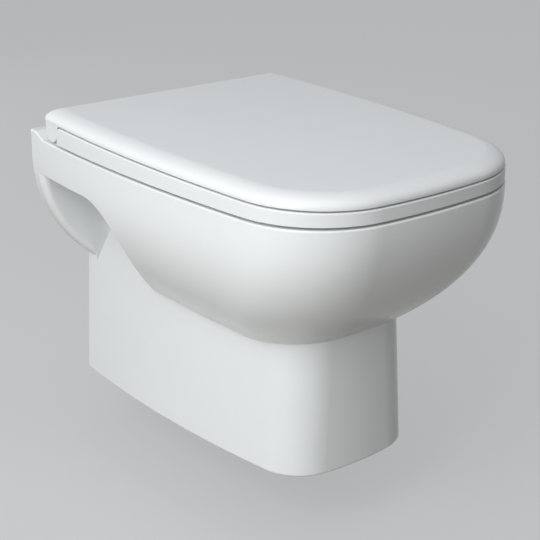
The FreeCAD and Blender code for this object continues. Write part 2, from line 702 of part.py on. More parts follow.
def trap_route(body):
    """Centre line of the water way: down from the sump, up over the weir and out through the wall."""
    sk = sketch(body, "trap_route", "YZ_Plane")
    bend = val("trap_bend_radius")
    rise = math.radians(val("trap_rise_angle"))
    start = FreeCAD.Vector(-val("sump_from_wall"), -val("sump_depth"), 0)
    dip_mid = FreeCAD.Vector(start.x + bend, bend - val("trap_dip_depth"), 0)
    dip_start = FreeCAD.Vector(start.x, dip_mid.y, 0)
    dip_end = dip_mid + FreeCAD.Vector(math.sin(rise), -math.cos(rise), 0) * bend
    rise_end = dip_end + FreeCAD.Vector(math.cos(rise), math.sin(rise), 0) * val("trap_rise_length")
    weir_mid = rise_end + FreeCAD.Vector(math.sin(rise), -math.cos(rise), 0) * bend
    level = val("outlet_height")
    level_mid_up = level + bend
    reach = math.sqrt(4 * bend ** 2 - (level_mid_up - weir_mid.y) ** 2)
    level_mid = FreeCAD.Vector(weir_mid.x + reach, level_mid_up, 0)
    swing = math.atan2(level_mid.y - weir_mid.y, reach)
    up = FreeCAD.Vector(0, 0, 1)
    end = FreeCAD.Vector(-val("outlet_set_back"), level, 0)
    down = sk.addGeometry(Part.LineSegment(start, dip_start))
    dip = sk.addGeometry(Part.ArcOfCircle(Part.Circle(dip_mid, up, bend), math.pi, 1.5 * math.pi + rise))
    climb = sk.addGeometry(Part.LineSegment(dip_end, rise_end))
    weir = sk.addGeometry(Part.ArcOfCircle(Part.Circle(weir_mid, up, bend), swing, math.pi / 2 + rise))
    fall = sk.addGeometry(Part.ArcOfCircle(Part.Circle(level_mid, up, bend), math.pi + swing, 1.5 * math.pi))
    out = sk.addGeometry(Part.LineSegment(FreeCAD.Vector(level_mid.x, level, 0), end))
    for one, one_end, other, other_end in ((down, 2, dip, 1), (dip, 2, climb, 1), (climb, 2, weir, 2),
                                           (weir, 1, fall, 1), (fall, 2, out, 1)):
        sk.addConstraint(Sketcher.Constraint("Tangent", one, one_end, other, other_end))
    fix_point(sk, down, 1, "0 - sizes.sump_from_wall", "0 - sizes.sump_depth")
    fix_point(sk, out, 2, "0 - sizes.outlet_set_back", ref("outlet_height"))
    sk.addConstraint(Sketcher.Constraint("Vertical", down))
    sk.addConstraint(Sketcher.Constraint("Horizontal", out))
    sk.addConstraint(Sketcher.Constraint("Equal", dip, weir))
    sk.addConstraint(Sketcher.Constraint("Equal", dip, fall))
    bind(sk, "Radius", dip, bend, ref("trap_bend_radius"))
    bind(sk, "DistanceY", dip, 3, -1, 1, -dip_mid.y, "sizes.trap_dip_depth - sizes.trap_bend_radius")
    bind(sk, "Distance", climb, val("trap_rise_length"), ref("trap_rise_length"))
    bind(sk, "Angle", climb, rise, "sizes.trap_rise_angle * 1 deg")
    return sk


def sweep(body, kind, name, profile, route):
    made = body.newObject("PartDesign::" + kind, body.Label + "_" + name)
    made.Profile = profile
    made.Spine = (route, [])
    doc.recompute()
    return made


def both(size):
    """The same distance to the left and to the right of the centre line."""
    return ["0 - " + size, size]


def rings(sk, across, up, outside, inside):
    """Two round tubes, one at each side."""
    for where in both(across):
        circle(sk, where, up, outside)
        circle(sk, where, up, inside)


def hexagons(sk, across, up, flats, inside):
    """Two nuts, one at each side."""
    for where in both(across):
        polygon(sk, [("%s + %s / sqrt(3) * cos(%d deg)" % (where, flats, turn),
                      "%s + %s / sqrt(3) * sin(%d deg)" % (up, flats, turn)) for turn in range(30, 390, 60)])
        circle(sk, where, up, inside)


WALL_X = "sizes.wall_bolt_spacing / 2"
WALL_Z = ref("wall_bolt_height")
STUD_R = "sizes.stud_clear_bore / 2"
PEG_X = "sizes.hinge_spacing / 2"
PEG_Y = "0 - sizes.peg_from_wall"
BOLT_R = "sizes.hinge_bolt / 2"
BOLT_HOLE_R = "sizes.hinge_bolt / 2 + sizes.bolt_clearance"
AXIS_Y = "0 - sizes.axis_from_wall"
AXIS_Z = ref("axis_above_rim")


def wall_fixings():
    """Sleeves in the wall holes, with washers and nuts in the side recesses; studs come with the wall."""
    sleeves = new_body("wall_sleeves")
    sk = sketch(sleeves, "tubes", "XZ_Plane", ref("sleeve_set_back"))
    rings(sk, WALL_X, WALL_Z, "sizes.wall_hole / 2 - sizes.sleeve_clearance", STUD_R)
    pad(sleeves, "tube", sk, "sizes.plate_thickness - sizes.sleeve_set_back")
    sk = sketch(sleeves, "flanges", "XZ_Plane", ref("plate_thickness"))
    rings(sk, WALL_X, WALL_Z, "sizes.sleeve_flange / 2", STUD_R)
    pad(sleeves, "flange", sk, ref("sleeve_flange_thickness"))

    washers = new_body("wall_washers")
    sk = sketch(washers, "rings", "XZ_Plane", ref("washer_seat"))
    rings(sk, WALL_X, WALL_Z, "sizes.washer_outside / 2", STUD_R)
    pad(washers, "ring", sk, ref("washer_thickness"))

    nuts = new_body("wall_nuts")
    sk = sketch(nuts, "hexagons", "XZ_Plane", ref("nut_seat"))
    hexagons(sk, WALL_X, WALL_Z, ref("nut_across_flats"), STUD_R)
    pad(nuts, "hexagon", sk, ref("nut_height"))
    return [sleeves, washers, nuts]


def inlet_seal():
    """Rubber ring in the flush socket."""
    body = new_body("inlet_seal")
    sk = sketch(body, "ring", "XZ_Plane", ref("seal_set_back"))
    circle(sk, "0", ref("inlet_height"), "sizes.inlet_bore / 2 - sizes.plug_clearance")
    circle(sk, "0", ref("inlet_height"), "sizes.seal_bore / 2")
    pad(body, "tube", sk, ref("seal_length"))
    return [body]


def hinge_fixings():
    """What stays on the pan when the seat is lifted off: gaskets, pillars, bolts, plugs and nuts."""
    gaskets = new_body("hinge_gaskets")
    sk = sketch(gaskets, "rings")
    rings(sk, PEG_X, PEG_Y, "sizes.hinge_base_diameter / 2", BOLT_HOLE_R)
    pad(gaskets, "ring", sk, ref("gasket_thickness"))

    pillars = new_body("hinge_pillars")
    sk = sketch(pillars, "bases", offset=ref("gasket_thickness"))
    rings(sk, PEG_X, PEG_Y, "sizes.hinge_base_diameter / 2", BOLT_HOLE_R)
    pad(pillars, "base", sk, ref("hinge_base_thickness"))
    sk = sketch(pillars, "pegs", offset=ref("peg_bottom"))
    rings(sk, PEG_X, PEG_Y, "sizes.peg_diameter / 2", BOLT_HOLE_R)
    pad(pillars, "peg", sk, "sizes.peg_top - sizes.peg_bottom")
    sk = sketch(pillars, "head_recesses", offset=ref("peg_top"))
    for where in both(PEG_X):
        circle(sk, where, PEG_Y, "sizes.hinge_bolt_head / 2 + sizes.bolt_clearance")
    pocket(pillars, "head_recess", sk, "sizes.hinge_bolt_head_height + sizes.bolt_clearance")
    soften(pillars, "Chamfer", "base_edge",
           lambda edge: (flat_at(edge, val("peg_bottom"))
                         and edge.BoundBox.XLength > val("peg_diameter") + val("overlap")),
           Size=ref("base_chamfer"))

    bolts = new_body("hinge_bolts")
    sk = sketch(bolts, "heads", offset=ref("bolt_seat"))
    for where in both(PEG_X):
        circle(sk, where, PEG_Y, "sizes.hinge_bolt_head / 2")
    pad(bolts, "head", sk, ref("hinge_bolt_head_height"))
    sk = sketch(bolts, "shanks", offset=ref("bolt_seat"))
    for where in both(PEG_X):
        circle(sk, where, PEG_Y, BOLT_R)
    pad(bolts, "shank", sk, "sizes.bolt_seat + sizes.bolt_reach", Reversed=True)
    sk = sketch(bolts, "sockets", offset="sizes.bolt_seat + sizes.hinge_bolt_head_height")
    for where in both(PEG_X):
        polygon(sk, [("%s + sizes.hinge_bolt_key / sqrt(3) * cos(%d deg)" % (where, turn),
                      "%s + sizes.hinge_bolt_key / sqrt(3) * sin(%d deg)" % (PEG_Y, turn))
                     for turn in range(0, 360, 60)])
    pocket(bolts, "socket", sk, "sizes.hinge_bolt_head_height / 2")

    plugs = new_body("hinge_plugs")
    sk = sketch(plugs, "rings")
    rings(sk, PEG_X, PEG_Y, "sizes.hinge_hole / 2 - sizes.plug_clearance", BOLT_HOLE_R)
    pad(plugs, "tube", sk, ref("plug_length"), Reversed=True)

    nuts = new_body("hinge_nuts")
    sk = sketch(nuts, "rings", offset="0 - sizes.plug_length")
    rings(sk, PEG_X, PEG_Y, "sizes.hinge_nut_diameter / 2", "sizes.hinge_bolt / 2 + sizes.running_clearance")
    pad(nuts, "ring", sk, ref("hinge_nut_height"), Reversed=True)
    return [gaskets, pillars, bolts, plugs, nuts]


def rod(body, side, name, start, end, radius):
    """A round bar on the hinge axis."""
    sk = sketch(body, name + "_circle", "YZ_Plane", out(side, start))
    circle(sk, AXIS_Y, AXIS_Z, radius)
    return pad(body, name, sk, "(%s) - (%s)" % (end, start), Reversed=SIDES[side][1])


def bore(body, side, name, start, end, radius):
    """A round hole on the hinge axis."""
    sk = sketch(body, name + "_circle", "YZ_Plane", out(side, start))
    circle(sk, AXIS_Y, AXIS_Z, radius)
    return pocket(body, name, sk, "(%s) - (%s)" % (end, start), Reversed=not SIDES[side][1])


def keyed(sk, radius, flat):
    """A circle on the hinge axis with one flat on top, for shafts that must turn with their part."""
    r, f = number(radius), number(flat)
    middle = FreeCAD.Vector(number(AXIS_Y), number(AXIS_Z), 0)
    rise = math.asin(f / r)
    arc = sk.addGeometry(Part.ArcOfCircle(Part.Circle(middle, FreeCAD.Vector(0, 0, 1), r), math.pi - rise,
                                          2 * math.pi + rise))
    half = FreeCAD.Vector(r * math.cos(rise), 0, 0)
    top = middle + FreeCAD.Vector(0, f, 0)
    line = sk.addGeometry(Part.LineSegment(top + half, top - half))
    sk.addConstraint(Sketcher.Constraint("Coincident", arc, 2, line, 1))
    sk.addConstraint(Sketcher.Constraint("Coincident", arc, 1, line, 2))
    sk.addConstraint(Sketcher.Constraint("Horizontal", line))
    fix_point(sk, arc, 3, AXIS_Y, AXIS_Z)
    bind(sk, "Radius", arc, r, radius)
    bind(sk, "DistanceY", arc, 3, line, 1, f, flat)


def hinge_housing(side):
    """The block that drops on to a peg and carries a damper on the hinge axis."""
    body = new_body("hinge_housing_" + side)
    rod(body, side, "barrel", ref("housing_inner"), ref("housing_outer"), ref("housing_barrel_radius"))
    sk = sketch(body, "block_outline", "YZ_Plane", out(side, ref("housing_inner")))
    box_outline(sk, "0 - sizes.housing_front", AXIS_Y, ref("peg_bottom"), ref("housing_top"))
    pad(body, "block", sk, "sizes.housing_outer - sizes.housing_inner", Reversed=SIDES[side][1])
    soften(body, "Fillet", "block_edge",
           lambda edge: (abs(edge.BoundBox.YMax + val("housing_front")) < 0.01
                         and edge.BoundBox.ZMin > val("peg_bottom") + val("overlap")),
           Radius=ref("housing_edge_radius"))
    sk = sketch(body, "peg_bore_circle", offset=ref("peg_bottom"))
    circle(sk, out(side, PEG_X), PEG_Y, "sizes.peg_diameter / 2 + sizes.running_clearance")
    pocket(body, "peg_bore", sk, "sizes.peg_top - sizes.peg_bottom + sizes.bolt_clearance", Reversed=True)
    sk = sketch(body, "latch_slot_outline", offset="sizes.latch_bottom - sizes.latch_clearance")
    box_outline(sk, out(side, "sizes.housing_inner - sizes.overlap"),
                out(side, "sizes.latch_end + 2 * sizes.latch_travel"),
                PEG_Y + " - sizes.latch_width / 2 - sizes.latch_clearance",
                PEG_Y + " + sizes.latch_width / 2 + sizes.latch_clearance")
    pocket(body, "latch_slot", sk, "sizes.latch_thickness + 2 * sizes.latch_clearance", Reversed=True)
    bore(body, side, "damper_bore", ref("damper_inner"), ref("housing_outer"),
         "sizes.damper_radius + sizes.running_clearance")
    return body


def damper(side, label):
    """Soft closing cartridge: a barrel fixed in the housing, open at the outer end for its shaft."""
    body = new_body(label)
    rod(body, side, "barrel", ref("damper_inner"), ref("housing_outer"), ref("damper_radius"))
    bore(body, side, "shaft_bore", "sizes.shaft_inner - sizes.overlap", ref("housing_outer"),
         "sizes.shaft_radius + sizes.running_clearance")
    return body


def damper_shaft(side, label, key_start, key_end):
    """Shaft out of a damper, with a flat where it turns with the seat or the lid."""
    body = new_body(label)
    rod(body, side, "journal", ref("shaft_inner"), key_start, ref("shaft_radius"))
    sk = sketch(body, "key_outline", "YZ_Plane", out(side, key_start))
    keyed(sk, ref("shaft_radius"), ref("shaft_flat"))
    pad(body, "key", sk, "(%s) - (%s)" % (key_end, key_start), Reversed=SIDES[side][1])
    return body


def hinge_carrier():
    """Both housings with their dampers, and the bridge that joins them."""
    made = [hinge_housing(side) for side in SIDES]
    bridge = new_body("hinge_bridge")
    sk = sketch(bridge, "bar_outline", "YZ_Plane", "0 - sizes.housing_inner")
    box_outline(sk, AXIS_Y + " - sizes.bridge_depth / 2", AXIS_Y + " + sizes.bridge_depth / 2",
                AXIS_Z + " - sizes.bridge_height / 2", AXIS_Z + " + sizes.bridge_height / 2")
    pad(bridge, "bar", sk, "2 * sizes.housing_inner")
    return made + [bridge, damper("right", "damper_seat"), damper("left", "damper_lid")]


def release_button(side):
    """Push button with a latch plate whose window passes round the peg."""
    body = new_body("release_button_" + side)
    sk = sketch(body, "latch_outline", offset=ref("latch_bottom"))
    half = "sizes.latch_width / 2"
    window = "(sizes.peg_diameter / 2 + sizes.latch_clearance)"
    box_outline(sk, out(side, "sizes.housing_inner - sizes.button_gap"), out(side, ref("latch_end")),
                PEG_Y + " - " + half, PEG_Y + " + " + half)
    box_outline(sk, out(side, PEG_X + " - sizes.latch_travel - " + window), out(side, PEG_X + " + " + window),
                PEG_Y + " - " + window, PEG_Y + " + " + window)
    pad(body, "latch", sk, ref("latch_thickness"))
    sk = sketch(body, "head_outline", "YZ_Plane", out(side, "sizes.housing_inner - sizes.button_stand_out"))
    middle = "sizes.latch_bottom + sizes.latch_thickness / 2"
    box_outline(sk, PEG_Y + " - " + half, PEG_Y + " + " + half, middle + " - sizes.button_height / 2",
                middle + " + sizes.button_height / 2")
    pad(body, "head", sk, "sizes.button_stand_out - sizes.button_gap", Reversed=SIDES[side][1])
    return body


def seat():
    """The seat ring: level below, falling slightly to the front on top, with a lug at each hinge."""
    body = new_body("seat")
    sk = sketch(body, "outline", offset=ref("rim_gap"))
    dee(sk, ref("seat_half"), ref("seat_front"), ref("seat_corner"), "0 - sizes.seat_rear")
    pad(body, "slab", sk, ref("seat_thickness"))
    sk = sketch(body, "fall_outline", "YZ_Plane")
    start = "sizes.seat_rear + sizes.seat_rear_radius"
    reach = "2 * sizes.pan_projection"
    polygon(sk, [
        ("0 - (%s)" % start, ref("seat_top_rear")),
        ("0 - (%s) - %s" % (start, reach),
         "sizes.seat_top_rear - %s * tan(sizes.seat_fall_angle * 1 deg)" % reach),
        ("0 - (%s) - %s" % (start, reach), "2 * sizes.seat_top_rear"),
        ("0 - (%s)" % start, "2 * sizes.seat_top_rear"),
    ])
    pocket(body, "fall", sk, "4 * sizes.pan_half_width", Midplane=True)
    soften(body, "Fillet", "rear_edge",
           lambda edge: runs_along_x(edge, -val("seat_rear"), val("seat_top_rear")),
           Radius=ref("seat_rear_radius"))

    def on_top(edge):
        fall = math.tan(math.radians(val("seat_fall_angle")))
        return all(abs(val("seat_top_rear") + (vertex.Y + number(start)) * fall - vertex.Z) < 0.01
                   for vertex in edge.Vertexes) and edge.BoundBox.YLength > 0.01

    soften(body, "Fillet", "top_edge", on_top, Radius=ref("seat_edge_radius"))
    sk = sketch(body, "hole_outline", offset=ref("rim_gap"))
    oval(sk, ref("seat_hole_half_width"), ref("seat_hole_rear"), ref("seat_hole_front"))
    pocket(body, "hole", sk, ref("seat_thickness"), Reversed=True)
    soften(body, "Fillet", "hole_edge",
           lambda edge: (on_top(edge) and edge.BoundBox.YMin > -val("seat_hole_front") - val("overlap")
                         and edge.BoundBox.XLength > val("seat_hole_half_width")),
           Radius=ref("seat_hole_edge_radius"))
    sk = sketch(body, "notch_outline", offset=ref("rim_gap"))
    box_outline(sk, "0 - sizes.ear_inner", ref("ear_inner"), "0 - sizes.seat_notch_front", "0")
    pocket(body, "notch", sk, ref("seat_thickness"), Reversed=True)
    for side in SIDES:
        rod(body, side, side + "_lug", ref("lug_inner"), ref("lug_outer"), ref("lug_radius"))
        sk = sketch(body, side + "_arm_outline", "YZ_Plane", out(side, ref("lug_inner")))
        box_outline(sk, "0 - sizes.seat_notch_front - sizes.overlap", AXIS_Y,
                    AXIS_Z + " - sizes.lug_radius + sizes.overlap", "sizes.seat_top_rear - sizes.overlap")
        pad(body, side + "_arm", sk, "sizes.lug_outer - sizes.lug_inner", Reversed=SIDES[side][1])
    bore(body, "left", "left_bore", "sizes.lug_inner - sizes.overlap", "sizes.lug_outer + sizes.overlap",
         "sizes.shaft_radius + sizes.running_clearance")
    sk = sketch(body, "key_outline", "YZ_Plane", "sizes.lug_inner - sizes.overlap")
    keyed(sk, ref("shaft_radius"), ref("shaft_flat"))
    pocket(body, "right_key", sk, "sizes.lug_outer - sizes.lug_inner + 2", Reversed=True)
    sk = sketch(body, "buffer_seats", offset=ref("rim_gap"))
    buffer_outlines(sk)
    pocket(body, "buffer_seat", sk, ref("buffer_sink"), Reversed=True)
    return body


def buffer_outlines(sk):
    """Four pads under the seat, two at the front and two at the rear."""
    for half, along in (("seat_buffer_front_half", "seat_buffer_front"),
                        ("seat_buffer_rear_half", "seat_buffer_rear")):
        for where in both(ref(half)):
            box_outline(sk, "%s - sizes.buffer_width / 2" % where, "%s + sizes.buffer_width / 2" % where,
                        "0 - %s - sizes.buffer_length / 2" % ref(along),
                        "0 - %s + sizes.buffer_length / 2" % ref(along))


def seat_buffers():
    body = new_body("seat_buffers")
    sk = sketch(body, "pads")
    buffer_outlines(sk)
    pad(body, "pad", sk, "sizes.rim_gap + sizes.buffer_sink")
    return body


def lid():
    """The lid: a crowned shell whose rear ends hook down round the hinge axis."""
    body = new_body("lid")
    levels = []
    for level in CROWN:
        sk = sketch(body, level, offset=ref(level + "_height"))
        dee(sk, ref(level + "_half"), ref(level + "_front"), ref(level + "_corner"), "0 - sizes.lid_rear")
        levels.append(sk)
    loft(body, "AdditiveLoft", "slab", levels)
    for side in SIDES:
        sk = sketch(body, side + "_ear_outline", "YZ_Plane", out(side, ref("ear_inner")))
        ear_profile(sk)
        pad(body, side + "_ear", sk, "sizes.ear_outer - sizes.ear_inner", Reversed=SIDES[side][1])
    sk = sketch(body, "rear_round_outline", "YZ_Plane")
    corner_cut(sk, "0 - sizes.lid_rear", ref("crown_top_height"), ref("lid_rear_radius"))
    pocket(body, "rear_round", sk, "4 * sizes.pan_half_width", Midplane=True)
    sk = sketch(body, "hollow_outline", offset=ref("lid_bottom"))
    dee(sk, ref("lid_hollow_half"), ref("lid_hollow_front"), ref("lid_hollow_corner"),
        "0 - sizes.lid_hollow_rear")
    pocket(body, "hollow", sk, "sizes.lid_thickness - sizes.lid_shell", Reversed=True)
    sk = sketch(body, "key_outline", "YZ_Plane", "1 - sizes.ear_inner")
    keyed(sk, ref("shaft_radius"), ref("shaft_flat"))
    pocket(body, "left_key", sk, "sizes.shaft_end - sizes.ear_inner + sizes.overlap")
    bore(body, "right", "right_bore", "sizes.ear_inner - sizes.overlap", "sizes.shaft_end + sizes.overlap",
         "sizes.lid_journal_radius + sizes.running_clearance")
    sk = sketch(body, "buffer_seats", offset=ref("lid_bottom"))
    lid_buffer_outlines(sk)
    pocket(body, "buffer_seat", sk, ref("lid_buffer_sink"), Reversed=True)
    return body


def lid_buffer_outlines(sk):
    for half, along in (("lid_buffer_front_half", "lid_buffer_front"),
                        ("lid_buffer_rear_half", "lid_buffer_rear")):
        for where in both(ref(half)):
            circle(sk, where, "0 - " + ref(along), "sizes.lid_buffer_diameter / 2")


def lid_buffers():
    """Four small pads that keep the lid off the seat."""
    body = new_body("lid_buffers")
    sk = sketch(body, "pads", offset=ref("seat_top_in_lid"))
    lid_buffer_outlines(sk)
    pad(body, "pad", sk, "sizes.lid_bottom - sizes.seat_top_in_lid + sizes.lid_buffer_sink")
    return body


def corner_cut(sk, across, up, radius):
    """What is taken off an upper right corner to round it."""
    x, z, r = number(across), number(up), number(radius)
    middle = FreeCAD.Vector(x - r, z - r, 0)
    arc = sk.addGeometry(Part.ArcOfCircle(Part.Circle(middle, FreeCAD.Vector(0, 0, 1), r), 0, math.pi / 2))
    points = [FreeCAD.Vector(x, z - r, 0), FreeCAD.Vector(x + r, z - r, 0), FreeCAD.Vector(x + r, z + r, 0),
              FreeCAD.Vector(x - r, z + r, 0), FreeCAD.Vector(x - r, z, 0)]
    lines = [sk.addGeometry(Part.LineSegment(points[index], points[index + 1])) for index in range(4)]
    sk.addConstraint(Sketcher.Constraint("Coincident", arc, 1, lines[0], 1))
    for one, other in zip(lines, lines[1:]):
        sk.addConstraint(Sketcher.Constraint("Coincident", one, 2, other, 1))
    sk.addConstraint(Sketcher.Constraint("Coincident", lines[3], 2, arc, 2))
    sk.addConstraint(Sketcher.Constraint("Horizontal", arc, 1, arc, 3))
    sk.addConstraint(Sketcher.Constraint("Vertical", arc, 2, arc, 3))
    for index in (0, 2):
        sk.addConstraint(Sketcher.Constraint("Horizontal", lines[index]))
        sk.addConstraint(Sketcher.Constraint("Vertical", lines[index + 1]))
    fix_point(sk, arc, 3, "%s - %s" % (across, radius), "%s - %s" % (up, radius))
    bind(sk, "Radius", arc, r, radius)
    fix_point(sk, lines[1], 2, "%s + %s" % (across, radius), "%s + %s" % (up, radius))


def ear_profile(sk):
    """Side view of a lid ear: down the rear, round the axis and up in a hollow to the lid."""
    axis_y, axis_z, r = number(AXIS_Y), number(AXIS_Z), val("ear_radius")
    hollow = val("lid_bottom") - axis_z
    top = val("lid_bottom") + val("lid_shell")
    up = FreeCAD.Vector(0, 0, 1)
    round_mid = FreeCAD.Vector(axis_y, axis_z, 0)
    hollow_mid = FreeCAD.Vector(axis_y - r - hollow, axis_z, 0)
    rear = axis_y + r
    front = hollow_mid.x
    back = sk.addGeometry(Part.LineSegment(FreeCAD.Vector(rear, top, 0), FreeCAD.Vector(rear, axis_z, 0)))
    barrel = sk.addGeometry(Part.ArcOfCircle(Part.Circle(round_mid, up, r), math.pi, 2 * math.pi))
    sweep_in = sk.addGeometry(Part.ArcOfCircle(Part.Circle(hollow_mid, up, hollow), 0, math.pi / 2))
    stand = sk.addGeometry(Part.LineSegment(FreeCAD.Vector(front, axis_z + hollow, 0),
                                            FreeCAD.Vector(front, top, 0)))
    cap = sk.addGeometry(Part.LineSegment(FreeCAD.Vector(front, top, 0), FreeCAD.Vector(rear, top, 0)))
    sk.addConstraint(Sketcher.Constraint("Tangent", back, 2, barrel, 2))
    sk.addConstraint(Sketcher.Constraint("Tangent", barrel, 1, sweep_in, 1))
    sk.addConstraint(Sketcher.Constraint("Coincident", sweep_in, 2, stand, 1))
    sk.addConstraint(Sketcher.Constraint("Coincident", stand, 2, cap, 1))
    sk.addConstraint(Sketcher.Constraint("Coincident", cap, 2, back, 1))
    sk.addConstraint(Sketcher.Constraint("Vertical", back))
    sk.addConstraint(Sketcher.Constraint("Vertical", stand))
    sk.addConstraint(Sketcher.Constraint("Horizontal", cap))
    sk.addConstraint(Sketcher.Constraint("Vertical", sweep_in, 2, sweep_in, 3))
    sk.addConstraint(Sketcher.Constraint("Horizontal", barrel, 3, sweep_in, 3))
    fix_point(sk, barrel, 3, AXIS_Y, AXIS_Z)
    bind(sk, "Radius", barrel, r, ref("ear_radius"))
    bind(sk, "Radius", sweep_in, hollow, "sizes.lid_bottom - sizes.axis_above_rim")
    bind(sk, "DistanceY", -1, 1, cap, 1, top, "sizes.lid_bottom + sizes.lid_shell")


carrier = hinge_carrier()
bodies = [ceramic_pan()] + wall_fixings() + inlet_seal() + hinge_fixings() + carrier
bodies += [release_button(side) for side in SIDES]
seat_shaft = damper_shaft("right", "damper_shaft_seat", ref("lug_inner"), ref("lug_outer"))
rod(seat_shaft, "right", "lid_journal", ref("lug_outer"), ref("shaft_end"), ref("lid_journal_radius"))
bodies += [seat(), seat_buffers(), seat_shaft]
for body in bodies:
    place(body)
leaning = [lid(), lid_buffers(), damper_shaft("left", "damper_shaft_lid", ref("ear_inner"), ref("shaft_end"))]
for body in leaning:
    place_leaning(body)
bodies += leaning
doc.recompute()
for thing in doc.Objects:
    if "Invalid" in thing.State or "Error" in thing.State:
        raise RuntimeError("%s did not build: %s" % (thing.Name, thing.State))
for body in bodies:
    if body.Shape.isNull() or not body.Shape.isValid():
        raise RuntimeError("%s has no valid shape" % body.Label)
os.makedirs("parts", exist_ok=True)
for body in bodies:
    body.Shape.exportStep("parts/%s.step" % body.Label)
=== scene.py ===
# %% [markdown]
# # A wall hung toilet
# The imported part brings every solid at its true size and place: the glazed pan, the seat, the lid, the
# lift-off hinge and all the fixings. This lesson gives those solids their finishes, adds the small
# repeated details that are too fine for the solids, and sets up a studio to look at them in.

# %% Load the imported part
import math
import bpy
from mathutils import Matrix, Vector


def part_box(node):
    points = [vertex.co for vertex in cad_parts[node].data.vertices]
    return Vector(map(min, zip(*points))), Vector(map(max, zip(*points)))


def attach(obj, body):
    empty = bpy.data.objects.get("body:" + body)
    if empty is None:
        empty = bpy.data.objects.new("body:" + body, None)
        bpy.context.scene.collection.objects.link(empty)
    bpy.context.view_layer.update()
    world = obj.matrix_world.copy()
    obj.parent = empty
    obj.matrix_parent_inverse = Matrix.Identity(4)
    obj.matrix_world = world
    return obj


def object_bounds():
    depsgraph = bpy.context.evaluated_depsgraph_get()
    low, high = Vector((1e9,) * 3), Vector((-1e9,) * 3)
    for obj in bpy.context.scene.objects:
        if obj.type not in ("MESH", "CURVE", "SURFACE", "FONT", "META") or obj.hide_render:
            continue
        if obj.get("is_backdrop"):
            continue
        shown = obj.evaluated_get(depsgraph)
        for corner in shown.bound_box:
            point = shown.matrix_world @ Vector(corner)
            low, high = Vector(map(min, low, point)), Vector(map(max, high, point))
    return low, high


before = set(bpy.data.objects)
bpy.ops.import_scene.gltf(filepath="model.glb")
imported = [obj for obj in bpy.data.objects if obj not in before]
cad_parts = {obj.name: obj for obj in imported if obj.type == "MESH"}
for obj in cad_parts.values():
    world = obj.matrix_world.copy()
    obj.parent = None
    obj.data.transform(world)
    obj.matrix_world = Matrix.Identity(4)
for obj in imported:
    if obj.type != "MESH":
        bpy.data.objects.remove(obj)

cad_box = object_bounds()
print("size in metres:", [round(high - low, 4) for low, high in zip(*cad_box)])

# %% [markdown]
# ## Camera
# A camera needs three things: where it stands, where it looks and how long its lens is. A fairly long
# lens from the front left, looking a good twenty degrees down, keeps the far edge of the lid nearly as
# long as the near one. The place was worked out beforehand from the outlines of rim, lid and trap housing
# in a picture of the object, so it is simply typed in.

# %% Camera
LENS_MM = 85.83
CAMERA_PLACE = (-0.86787, -1.3436, 0.47795)
LOOK_DOWN_DEG = 20.997
TURN_DEG = 38.227

camera_data = bpy.data.cameras.new("camera")
camera_data.sensor_width = 36
camera_data.lens = LENS_MM
camera = bpy.data.objects.new("camera", camera_data)
camera.location = CAMERA_PLACE
camera.rotation_euler = (math.radians(90 - LOOK_DOWN_DEG), 0, math.radians(-TURN_DEG))
bpy.context.scene.collection.objects.link(camera)
bpy.context.scene.camera = camera
print("camera", [round(value, 3) for value in camera.location], "lens", LENS_MM)

# %% [markdown]
# ## Small tools for node trees
# Floor, sky and finishes are all trees of nodes. Built in code, a tree needs the same few steps again
# and again: place a node, link or set its inputs, do a sum, mix two colours. Each gets a short helper.

# %% Helpers to build node trees
def feed(tree, socket, value):
    """Links a socket to another node's output, or sets it to a plain value."""
    if isinstance(value, bpy.types.NodeSocket):
        tree.links.new(value, socket)
    else:
        socket.default_value = value


def add(tree, kind, settings=(), **inputs):
    """A node with its settings, and its inputs either linked or set."""
    node = tree.nodes.new(kind)
    for name, value in dict(settings).items():
        setattr(node, name, value)
    for name, value in inputs.items():
        feed(tree, node.inputs[name.replace("_", " ")], value)
    return node


def sums(tree, operation, one, other):
    """One step of arithmetic on sockets or numbers."""
    node = add(tree, "ShaderNodeMath", {"operation": operation})
    feed(tree, node.inputs[0], one)
    feed(tree, node.inputs[1], other)
    return node.outputs[0]


def blend_colour(tree, factor, one, other, way="MIX"):
    """Mixes two colours."""
    settings = {"data_type": "RGBA", "blend_type": way}
    return add(tree, "ShaderNodeMix", settings, Factor=factor, A=one, B=other).outputs["Result"]


# %% [markdown]
# ## Floor
# A plain pale floor lies below the part, which hangs free as it would on its wall. The eye meets floor
# and background in one even pale tone, so the floor glows a little by itself. Light that bounces finds a
# darker floor without the glow, because a large pale one would throw up so much light that the underside
# of the bowl lost its shape. A Light Path node tells the two apart.

# %% One colour for the eye, another for bounced light
def eye_or_bounce(tree, eye, bounce):
    """One colour for what is seen, also mirrored or through glass, and one for bounced light."""
    path = tree.nodes.new("ShaderNodeLightPath")
    seen = path.outputs["Is Camera Ray"]
    for ray in ("Is Glossy Ray", "Is Transmission Ray"):
        seen = sums(tree, "ADD", seen, path.outputs[ray])
    return blend_colour(tree, seen, bounce, eye)


# %% Floor
FLOOR_BELOW = 0.08
FLOOR_HALF = 30
FLOOR_SEEN = (0.2, 0.202, 0.205, 1)
FLOOR_BOUNCE = (0.15, 0.132, 0.102, 1)
GLOW_SEEN = (0.96, 0.98, 1, 1)
GLOW_BOUNCE = (0, 0, 0, 1)
GLOW_STRENGTH = 0.4

